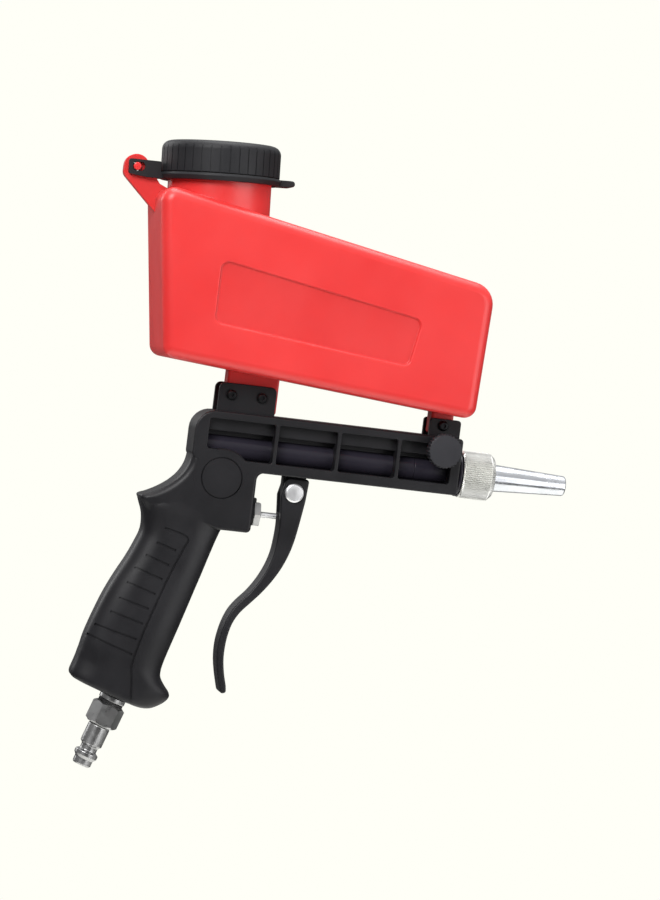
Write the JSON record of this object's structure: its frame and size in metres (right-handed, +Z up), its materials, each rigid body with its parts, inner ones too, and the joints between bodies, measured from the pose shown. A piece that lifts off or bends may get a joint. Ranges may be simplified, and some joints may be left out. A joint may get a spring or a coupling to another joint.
{
  "type": "gravity feed sandblasting gun",
  "caption": "Hand-held gravity-feed sandblasting gun with a large hopper, hinged screw lid, lever trigger, side valve knob, tapered nozzle and air inlet plug.",
  "frame": {"origin": "centre of the hand grip, on the middle plane, at the height where the palm holds it", "axes": "+X along the barrel towards the nozzle, +Z up towards the hopper, +Y to the left seen from behind"},
  "size_m": [0.2813, 0.07, 0.3663],
  "materials": {
    "hopper_red": "satin, slightly translucent blow-moulded plastic",
    "body_black": "satin moulded plastic",
    "tube_black": "glossy plastic",
    "knob_black": "satin moulded plastic",
    "lid_black": "satin moulded plastic",
    "seal_rubber": "matt rubber",
    "nozzle_steel": "polished",
    "nut_aluminium": "fine knurl, bead blasted",
    "inlet_steel": "turned and plated",
    "pin_silver": "bright plated",
    "screw_black": "black oxide",
    "valve_brass": "nickel plated brass, worn"
  },
  "bodies": {
    "gun": {"gun_body": "body_black", "badge_right": "body_black", "badge_left": "body_black", "air_tube": "tube_black", "mixing_tube": "tube_black", "air_jet": "valve_brass", "front_bush": "body_black", "nozzle": "nozzle_steel", "nozzle_seal": "seal_rubber", "hopper": "hopper_red", "spout_seal": "seal_rubber", "hopper_screw_rear_1": "screw_black", "hopper_nut_rear_1": "screw_black", "hopper_screw_rear_2": "screw_black", "hopper_nut_rear_2": "screw_black", "hopper_screw_front_right": "screw_black", "hopper_screw_front_left": "screw_black", "lid_pin": "hopper_red", "trigger_pin": "pin_silver", "trigger_clip": "pin_silver", "valve_seat": "valve_brass", "valve_spring": "pin_silver", "valve_nut": "valve_brass", "stem_seal": "seal_rubber", "grip_air_tube": "tube_black", "inlet_nipple": "inlet_steel", "inlet_seal": "seal_rubber", "hex_adapter": "inlet_steel", "quick_plug": "inlet_steel"},
    "trigger": {"trigger": "body_black"},
    "valve_stem": {"valve_stem": "pin_silver"},
    "nozzle_nut": {"nozzle_nut": "nut_aluminium"},
    "sand_valve": {"sand_spindle": "inlet_steel", "sand_knob": "knob_black", "spindle_seal_right": "seal_rubber", "spindle_seal_left": "seal_rubber", "spindle_clip": "pin_silver"},
    "lid": {"lid_ring": "lid_black"},
    "cap": {"filler_cap": "lid_black", "cap_seal": "seal_rubber"}
  },
  "joints": [
    {"name": "trigger_pull", "type": "hinge", "parent": "gun", "child": "trigger", "pos_m": [0.0791, 0, 0.0722], "axis": [0, 1, 0], "range_deg": [0, 13], "stiffness_Nm_per_rad": 0.8, "springref_deg": -8.59},
    {"name": "valve_slide", "type": "slide", "parent": "gun", "child": "valve_stem", "axis": [-1, 0, 0], "range_m": [0, 0.0036], "deforming": ["valve_spring"]},
    {"name": "nozzle_nut_turn", "type": "hinge", "parent": "gun", "child": "nozzle_nut", "pos_m": [0.186, 0, 0.0937], "axis": [1, 0, 0], "continuous": true},
    {"name": "sand_valve_turn", "type": "hinge", "parent": "gun", "child": "sand_valve", "pos_m": [0.1613, 0, 0.1066], "axis": [0, -1, 0], "range_deg": [0, 90]},
    {"name": "lid_flip", "type": "hinge", "parent": "gun", "child": "lid", "pos_m": [-0.0332, 0, 0.2466], "axis": [0, -1, 0], "range_deg": [0, 150]},
    {"name": "cap_turn", "type": "hinge", "parent": "lid", "child": "cap", "pos_m": [0.0156, 0, 0.2435], "axis": [-0.0593, 0, 0.9982], "range_deg": [0, 360]}
  ],
  "couplings": [
    {"joint": "valve_slide", "follows": "trigger_pull", "m_per_rad": 0.0149}
  ]
}
